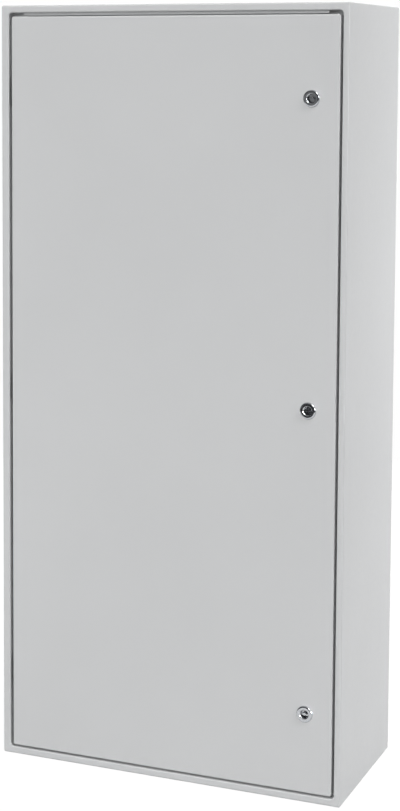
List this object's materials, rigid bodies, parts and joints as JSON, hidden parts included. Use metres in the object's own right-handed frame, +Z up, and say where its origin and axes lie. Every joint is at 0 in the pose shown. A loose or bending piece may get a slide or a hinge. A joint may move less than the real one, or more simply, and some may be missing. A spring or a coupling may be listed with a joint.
{
  "type": "floor-standing cabinet",
  "caption": "Tall sheet-steel floor cabinet with a flush hinged door, quarter-turn cam locks, gutter frame with foam seal, inner mounting plate and covered cable opening in the base.",
  "frame": {"origin": "centre of the base, on the floor", "axes": "+X to the right seen from the front, +Y from the door to the back, +Z up"},
  "size_m": [0.85, 0.408, 1.8],
  "materials": {
    "body_paint": "light grey powder coat, satin",
    "chrome": "polished chrome plate",
    "zinc_steel": "zinc-plated",
    "galvanised_sheet": "hot-dip galvanised",
    "foam_seal": "closed-cell foam"
  },
  "bodies": {
    "cabinet": {"frame_left_stile": "body_paint", "frame_right_stile": "body_paint", "frame_top_rail": "body_paint", "frame_bottom_rail": "body_paint", "left_side_panel": "body_paint", "right_side_panel": "body_paint", "roof_panel": "body_paint", "base_panel": "body_paint", "rear_panel": "body_paint", "rear_panel_screws": "zinc_steel", "drip_strip": "body_paint", "gland_gasket": "foam_seal", "gland_plate": "galvanised_sheet", "gland_studs": "zinc_steel", "gland_nuts": "zinc_steel", "mounting_plate": "galvanised_sheet", "plate_brackets": "zinc_steel", "plate_bolts": "zinc_steel", "plate_nuts": "zinc_steel", "body_earth_stud": "zinc_steel", "body_earth_nut": "zinc_steel", "hinge_block_bottom": "zinc_steel", "hinge_block_middle": "zinc_steel", "hinge_block_top": "zinc_steel", "hinge_screws": "zinc_steel"},
    "door": {"door_panel": "body_paint", "door_gasket": "foam_seal", "door_rail_left": "zinc_steel", "door_rail_right": "zinc_steel", "hinge_lugs_bottom": "zinc_steel", "hinge_lugs_middle": "zinc_steel", "hinge_lugs_top": "zinc_steel", "hinge_pin_bottom": "zinc_steel", "hinge_pin_middle": "zinc_steel", "hinge_pin_top": "zinc_steel", "lock_housing_bottom": "chrome", "lock_housing_middle": "chrome", "lock_housing_top": "chrome", "lock_nuts": "zinc_steel", "door_earth_stud": "zinc_steel", "door_earth_nut": "zinc_steel"},
    "lock_bottom": {"lock_core_bottom": "chrome", "lock_cam_bottom": "zinc_steel", "cam_screw_bottom": "zinc_steel"},
    "lock_middle": {"lock_core_middle": "chrome", "lock_cam_middle": "zinc_steel", "cam_screw_middle": "zinc_steel"},
    "lock_top": {"lock_core_top": "chrome", "lock_cam_top": "zinc_steel", "cam_screw_top": "zinc_steel"}
  },
  "joints": [
    {"name": "door_swing", "type": "hinge", "parent": "cabinet", "child": "door", "pos_m": [-0.3905, -0.192, 0.898], "axis": [0, 0, -1], "range_deg": [0, 110]},
    {"name": "lock_bottom_turn", "type": "hinge", "parent": "door", "child": "lock_bottom", "pos_m": [0.34, -0.2, 0.2055], "axis": [0, -1, 0], "range_deg": [0, 90]},
    {"name": "lock_middle_turn", "type": "hinge", "parent": "door", "child": "lock_middle", "pos_m": [0.34, -0.2, 0.898], "axis": [0, -1, 0], "range_deg": [0, 90]},
    {"name": "lock_top_turn", "type": "hinge", "parent": "door", "child": "lock_top", "pos_m": [0.34, -0.2, 1.5905], "axis": [0, -1, 0], "range_deg": [0, 90]}
  ]
}
